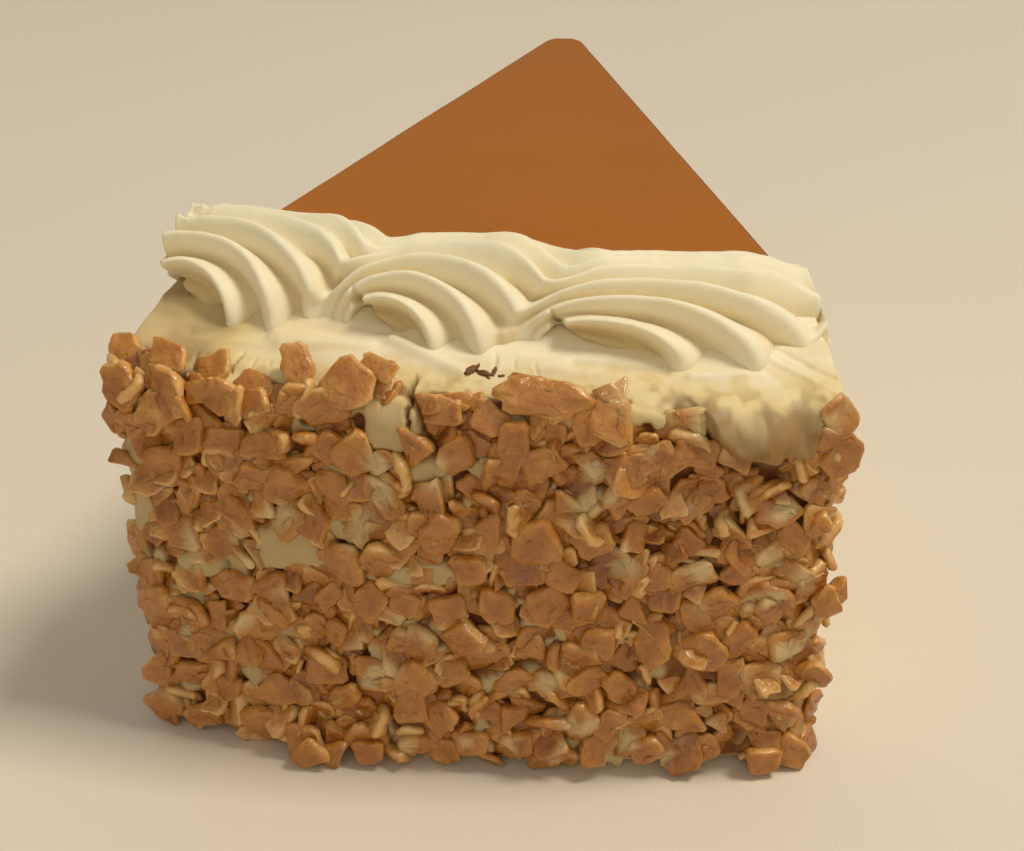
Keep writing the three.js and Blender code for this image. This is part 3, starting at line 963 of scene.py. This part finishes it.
# One chip shape, about one unit across: a flat flake with straight cut sides and soft edges,
# thicker to one side. Every third is curled; the first is rounder, for the widest chip.
def chipShape(index, draws, collection):
    sides = 6 if index == 0 else draws.choice([3, 3, 4, 4, 4, 5])
    start = draws.uniform(0, 2 * math.pi)
    corners = []
    for i in range(sides):
        turn = start + (i + draws.uniform(-0.25, 0.25)) * 2 * math.pi / sides
        corners.append(0.54 * draws.uniform(0.82, 1.15) * np.array([math.cos(turn), math.sin(turn)]))
    outline = []
    for i in range(sides):
        after = corners[(i + 1) % sides]
        for share in (-0.2, 0.2, 0.5):
            neighbour = corners[i - 1] if share < 0 else after
            broken = draws.uniform(-0.04, 0.04) if share < 0.5 else draws.uniform(-0.14, 0.08)
            cut = corners[i] + (neighbour - corners[i]) * abs(share) * draws.uniform(0.5, 1.0)
            outline.append(cut * (1 + broken))
    outline = np.array(outline)
    middle = outline.mean(axis=0)
    slant = np.array([draws.uniform(-0.35, 0.35), draws.uniform(-0.35, 0.35)])
    curl = draws.uniform(0.8, 1.6) if index % 3 == 2 else draws.uniform(-0.4, 0.6)
    points, edgeGlowWeights = [], []
    # rings from the underside up: reach, level, and how much painted light the edge gets there for being
    # thin
    rings = [(0.8, -0.5, 0.3), (1.0, -0.12, 1), (1.0, 0.22, 1),
             (0.93, 0.42, 0.6), (0.8, 0.5, 0.2), (0.4, 0.5, 0)]
    for reach, level, tintWeight in rings:
        for corner in outline:
            x, y = middle + (corner - middle) * reach * draws.uniform(0.97, 1.03)
            height = level * (1 + slant @ (x, y)) + curl * x * x + draws.uniform(-0.12, 0.12)
            points.append((x, y, height - curl * 0.06))
            edgeGlowWeights.append(tintWeight)
    mesh = bpy.data.meshes.new(f"chip{index:02d}")
    grid = len(rings), len(outline)
    mesh.from_pydata(points, [], loopFaces(*grid) + endFaces(*grid))
    mesh.shade_smooth()
    shape = bpy.data.objects.new(mesh.name, mesh)
    pointValue(shape, "thinEdge", edgeGlowWeights)
    collection.objects.link(shape)
    return shape


# Chips on stored places, and smaller ones between them over the nut-covered wall.
def chipTree(collection):
    sizes = {name: "Float" for name in filler if name != "Seed"}
    tree, source = newTree("chopped nuts", {
        **sizes, "Seed": "Int", "Wall": "Object", "Nut": "Material",
    })

    def seedPlus(amount):
        return addNode(tree, "ShaderNodeMath", {0: source["Seed"], 1: amount}, operation="ADD")

    def randomValue(low, high, seed, kind="FLOAT"):
        limits = {"Min": low, "Max": high, "Seed": seedPlus(seed)}
        return addNode(tree, "FunctionNodeRandomValue", limits, data_type=kind)

    def times(value, other):
        return addNode(tree, "ShaderNodeMath", {0: value, 1: other}, operation="MULTIPLY")

    def timesVector(value, other):
        return addNode(tree, "ShaderNodeVectorMath", {0: value, 1: other}, operation="MULTIPLY")

    shapes = addNode(tree, "GeometryNodeCollectionInfo", {
        "Collection": collection, "Separate Children": True, "Reset Children": True,
    })

    def chipsOn(points, rotation, scale, kind):
        return addNode(tree, "GeometryNodeInstanceOnPoints", {
            "Points": points, "Instance": shapes, "Pick Instance": True, "Scale": scale,
            "Instance Index": kind, "Rotation": rotation,
        })

    turn = addNode(tree, "FunctionNodeEulerToRotation", {
        "Euler": storedValue(tree, "turn", "FLOAT_VECTOR"),
    })
    size = storedValue(tree, "size", "FLOAT_VECTOR")
    large = chipsOn(source["Geometry"], turn, size, storedValue(tree, "kind"))
    wall = addNode(tree, "GeometryNodeObjectInfo", {"Object": source["Wall"]}).outputs["Geometry"]

    # one layer of chips laid at random over the covered part of the wall
    def layer(level, seed):
        spacing, smallest, largest, lift, tilt = [
            source[f"{level} {size}"] for size in ("Spacing", "Smallest", "Largest", "Lift", "Tilt")
        ]
        spread = addNode(tree, "GeometryNodeDistributePointsOnFaces", {
            "Mesh": wall, "Distance Min": spacing, "Density Max": 1200000.0,
            "Density Factor": storedValue(tree, "nutShare"), "Seed": seedPlus(seed),
        }, distribute_method="POISSON")
        raised = addNode(tree, "ShaderNodeVectorMath", {
            0: spread.outputs["Normal"], "Scale": randomValue(0.0, lift, seed + 1),
        }, operation="SCALE")
        lifted = addNode(tree, "GeometryNodeSetPosition", {"Geometry": spread, "Offset": raised})
        # squared draws: most chips lie nearly flat, a few stand on edge
        drawn = randomValue((-1, -1, -1), (1, 1, 1), seed + 2, "FLOAT_VECTOR")
        bent = timesVector(drawn, addNode(tree, "ShaderNodeVectorMath", {0: drawn}, operation="ABSOLUTE"))
        most = addNode(tree, "ShaderNodeCombineXYZ", {"X": tilt, "Y": tilt, "Z": math.pi})
        wobble = addNode(tree, "FunctionNodeEulerToRotation", {"Euler": timesVector(bent, most)})
        facing = addNode(tree, "FunctionNodeRotateRotation", {
            "Rotation": spread.outputs["Rotation"], "Rotate By": wobble,
        }, rotation_space="LOCAL")
        length = randomValue(smallest, largest, seed + 3)
        width = times(length, randomValue(0.65, 1.0, seed + 4))
        depth = times(length, randomValue(0.18, 0.3, seed + 5))
        size = addNode(tree, "ShaderNodeCombineXYZ", {"X": length, "Y": width, "Z": depth})
        return chipsOn(lifted, facing, size, randomValue(0, chipKinds - 1, seed + 6, "INT"))

    both = addNode(tree, "GeometryNodeJoinGeometry")
    for chipsLaid in (large, layer("Under", 10), layer("Top", 20)):
        tree.links.new(chipsLaid.outputs["Instances"], both.inputs["Geometry"])
    toned = addNode(tree, "GeometryNodeStoreNamedAttribute", {
        "Geometry": both, "Name": "tone", "Value": randomValue(0.0, 1.0, 7),
    }, data_type="FLOAT", domain="INSTANCE")
    closeTree(tree, toned, source["Nut"])
    return tree


def makeNuts():
    draws = random.Random(chips["seed"])
    collection = bpy.data.collections.new("chip shapes")
    bpy.context.scene.collection.children.link(collection)
    shapes = [chipShape(i, draws, collection) for i in range(chipKinds)]

    points, turns, sizes, kinds = [], [], [], []
    extra = [(*chip, 0.0, 0.0) for chip in cornerChips]
    leadingSpots = {chip[:2] for chip in leadingChips}
    for angle, height, length, width, out, turn, tiltX, tiltZ in largeChips() + extra:
        if height > 39 and length < 8 and (angle, height) not in leadingSpots:
            height -= lowStretch["drop"] * bell(angle, lowStretch["angle"], lowStretch["width"])
        overEdge = max(height - cake["wallTop"], 0)
        solidDepth = (length + width) * chips["flatness"]
        depth = solidDepth * chips["thinning"]
        radius = cake["radius"] + chips["seat"] + out - chips["lean"] * overEdge**2
        radius += (solidDepth - depth) * 0.35
        points.append(place(radius, angle, height))
        back = tiltX * chips["flattening"] - chips["recline"] * overEdge
        facing = (Matrix.Rotation(math.radians(angle) + tiltZ * chips["flattening"], 4, "Z")
                  @ Matrix.Rotation(back, 4, "X") @ Matrix.Rotation(turn, 4, "Y")
                  @ Matrix.Rotation(math.pi / 2, 4, "X"))
        turns.append(facing.to_euler())
        broad = 0.92 + 0.08 * min(overEdge, 1)
        sizes.append(np.array([length * broad, width * broad, depth]) * mm)
        kinds.append(0 if length > 8 else draws.randint(1, chipKinds - 1))
    piece = newPiece("choppedNutChips", np.array(points), [], None)
    pointValue(piece, "turn", turns, "FLOAT_VECTOR")
    pointValue(piece, "size", sizes, "FLOAT_VECTOR")
    pointValue(piece, "kind", kinds)

    bakeNodes(piece, chipTree(collection), {**filler, "Wall": coatPiece, "Nut": nutMaterial})
    for shape in shapes:
        bpy.data.objects.remove(shape)
    bpy.data.collections.remove(collection)
    piece.data.shade_smooth()
    spots = np.array([v.co for v in piece.data.vertices])
    # the knife cut through the chips at both ends of the rim
    low, high = np.array(cadBox[0]) + 0.05 * mm, np.array(cadBox[1]) - 0.05 * mm
    spots = np.clip(spots, low, high)
    piece.data.vertices.foreach_set("co", spots.ravel())
    spots /= mm
    x, y = spots[:, 0] - axisX / mm, spots[:, 1] - axisY / mm
    degrees = np.degrees(np.arctan2(x, -y))
    upTop = smoothStep(spots[:, 2], 35.0, 38.5) * (1 - smoothStep(degrees, 4.5, 6.5))
    level = smear["level"] + smear["reach"] * roughness(spots, 5.0, 3.9) * 2
    level += 0.5 * roughness(spots, 1.0, 1.9) - 8 * upTop
    wisp = smoothStep(roughness(spots, smear["wisps"], 5.5), 0.25, 0.45)
    wisp *= smoothStep(roughness(spots, 11.0, 8.1), -0.1, 0.2) * (1 - upTop)
    film = smoothStep(level - np.hypot(x, y), 0, smear["edge"]) * smoothStep(wisp, 0.05, 0.3)
    # where the cream hangs over at the right, it also veils the chips beside it
    veil = smoothStep(degrees, 4.5, 7.0) * smoothStep(spots[:, 2] - topEdge(degrees), -2.5, 0.5)
    film = np.maximum(film, np.maximum(wisp, veil * smoothStep(roughness(spots, 2.0, 4.4), -0.3, 0.3)))
    pointValue(piece, "creamFilm", film * smear["share"])
    # painted light: the chips along the upper edge are painted lighter, where the light falls on them and
    # comes through them
    tone = piece.data.attributes["tone"].data
    tonesWithPaintedLight = np.empty(len(tone), dtype=np.float32)
    tone.foreach_get("value", tonesWithPaintedLight)
    tonesWithPaintedLight += 0.15 * smoothStep(spots[:, 2], 37.5, 39.5).astype(np.float32)
    tone.foreach_set("value", tonesWithPaintedLight)
    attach(piece, "root")
    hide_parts("nut_cream_coat")
    print("nuts made:", len(piece.data.polygons), "faces")


makeNuts()


# ---- crumbs on the shoulder ----

# Angle, distance from the cake's axis, length, width and turn in degrees of each crumb.
crumbPlaces = [
    (0.0, 126.1, 2.0, 0.8, 5),
    (0.5, 126.3, 1.5, 0.7, -20),
    (0.9, 126.0, 1.3, 0.35, 55),
    (0.2, 125.6, 0.9, 0.3, 70),
    (1.2, 126.4, 0.7, 0.35, 10),
    (0.65, 126.7, 0.8, 0.25, -60),
    (11.9, 125.4, 0.5, 0.35, 30),
    (2.3, 126.8, 0.5, 0.25, 80),
]


# Dark baked crumb: matt, dry and rough.
def bakedCrumb():
    material, tree, spots = newMaterial("dark baked crumb")
    closeMaterial(tree, {
        "Base Color": patchy(tree, spots, 0.67, 3, colour("#4c2a12"), colour("#8a5a30")),
        "Normal": grained(tree, spots, 0.67, 3, 0.5, 0.2),
        "Roughness": 0.6, "IOR": 1.45, "Subsurface Weight": 0.1, "Subsurface Scale": 0.5 * mm,
    })
    return material


def makeCrumbs():
    work = bmesh.new()
    ground = BVHTree.FromPolygons([v.co for v in coatPiece.data.vertices],
                                  [p.vertices for p in coatPiece.data.polygons])
    for angle, radius, length, width, turn in crumbPlaces:
        above = Vector(place(radius, angle, 60.0))
        landed, upwards, _, _ = ground.ray_cast(above, Vector((0, 0, -1)))
        seat = upwards.to_track_quat("Z", "Y").to_matrix().to_4x4()
        size = Matrix.Diagonal((length / 2, width / 2, width / 3, 1 / mm)) * mm
        where = Matrix.Translation(landed) @ seat @ Matrix.Rotation(math.radians(turn), 4, "Z") @ size
        new = bmesh.ops.create_icosphere(work, subdivisions=3, radius=1.0)["verts"]
        for v in new:
            v.co *= 1 + 0.45 * noise.noise(v.co * 1.6 + Vector((angle, radius, turn)))
            v.co *= 1 + 0.2 * noise.noise(v.co * 5.0 + Vector((radius, turn, angle)))
            v.co = where @ v.co
    mesh = bpy.data.meshes.new("cakeCrumbs")
    work.to_mesh(mesh)
    work.free()
    mesh.materials.append(bakedCrumb())
    mesh.shade_smooth()
    piece = bpy.data.objects.new("cakeCrumbs", mesh)
    bpy.context.scene.collection.objects.link(piece)
    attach(piece, "root")


makeCrumbs()
print("crumbs made")


# ---- floor, light and camera ----

stage = {
    "floor": "#e6decb",
    "floorPatches": "#e2d9c5",
    "floorReach": 6.0,
    "worldColour": "#fff6ea",
    "worldStrength": 0.32,
}
# Each light's name, watts, size and place in metres, and colour.
lights = [
    ("key", 20.0, 0.5, (0.84, -0.04, 1.56), "#fff4e4"),
    ("fill", 1.2, 0.8, (0.0, -0.8, 0.5), "#fff4e6"),
]
viewpoint = {
    "lens": 55.1,
    "fromAxis": (16.3, -253.2, 100.2),  # mm from the cake's axis at the base
    "down": 26.7,
    "left": 5.7,
    "roll": 0.18,
}


def makeFloor():
    far = stage["floorReach"]
    corners = [(-far, -far, 0), (far, -far, 0), (far, far, 0), (-far, far, 0)]
    material, tree, spots = newMaterial("pale matt floor")
    tint = patchy(tree, spots, 167, 3, colour(stage["floor"]), colour(stage["floorPatches"]))
    closeMaterial(tree, {"Base Color": tint, "Roughness": 0.45})
    floor = newPiece("floor", np.array(corners), [[0, 1, 2, 3]], material)
    floor.data.shade_flat()


def makeLight(name, power, size, source, tint):
    light = bpy.data.lights.new(name, "AREA")
    light.energy, light.size, light.color = power, size, colour(tint)[:3]
    lamp = bpy.data.objects.new(name, light)
    lamp.location = source
    lamp.rotation_euler = (-Vector(source)).to_track_quat("-Z", "Y").to_euler()
    bpy.context.scene.collection.objects.link(lamp)


def makeWorld():
    world = bpy.data.worlds.new("soft room")
    world.use_nodes = True
    background = world.node_tree.nodes["Background"]
    background.inputs["Color"].default_value = colour(stage["worldColour"])
    background.inputs["Strength"].default_value = stage["worldStrength"]
    bpy.context.scene.world = world


def makeCamera():
    data = bpy.data.cameras.new("camera")
    data.lens, data.sensor_width = viewpoint["lens"], 36
    data.clip_start = 0.01
    camera = bpy.data.objects.new("camera", data)
    x, y, z = viewpoint["fromAxis"]
    camera.location = (axisX + x * mm, axisY + y * mm, z * mm)
    turn = (Matrix.Rotation(math.radians(viewpoint["left"]), 4, "Z")
            @ Matrix.Rotation(math.radians(90 - viewpoint["down"]), 4, "X")
            @ Matrix.Rotation(math.radians(viewpoint["roll"]), 4, "Z"))
    camera.rotation_euler = turn.to_euler()
    bpy.context.scene.collection.objects.link(camera)
    bpy.context.scene.camera = camera


makeFloor()
makeWorld()
for light in lights:
    makeLight(*light)
makeCamera()
bpy.context.scene.view_settings.view_transform = "Standard"
print("stage set")
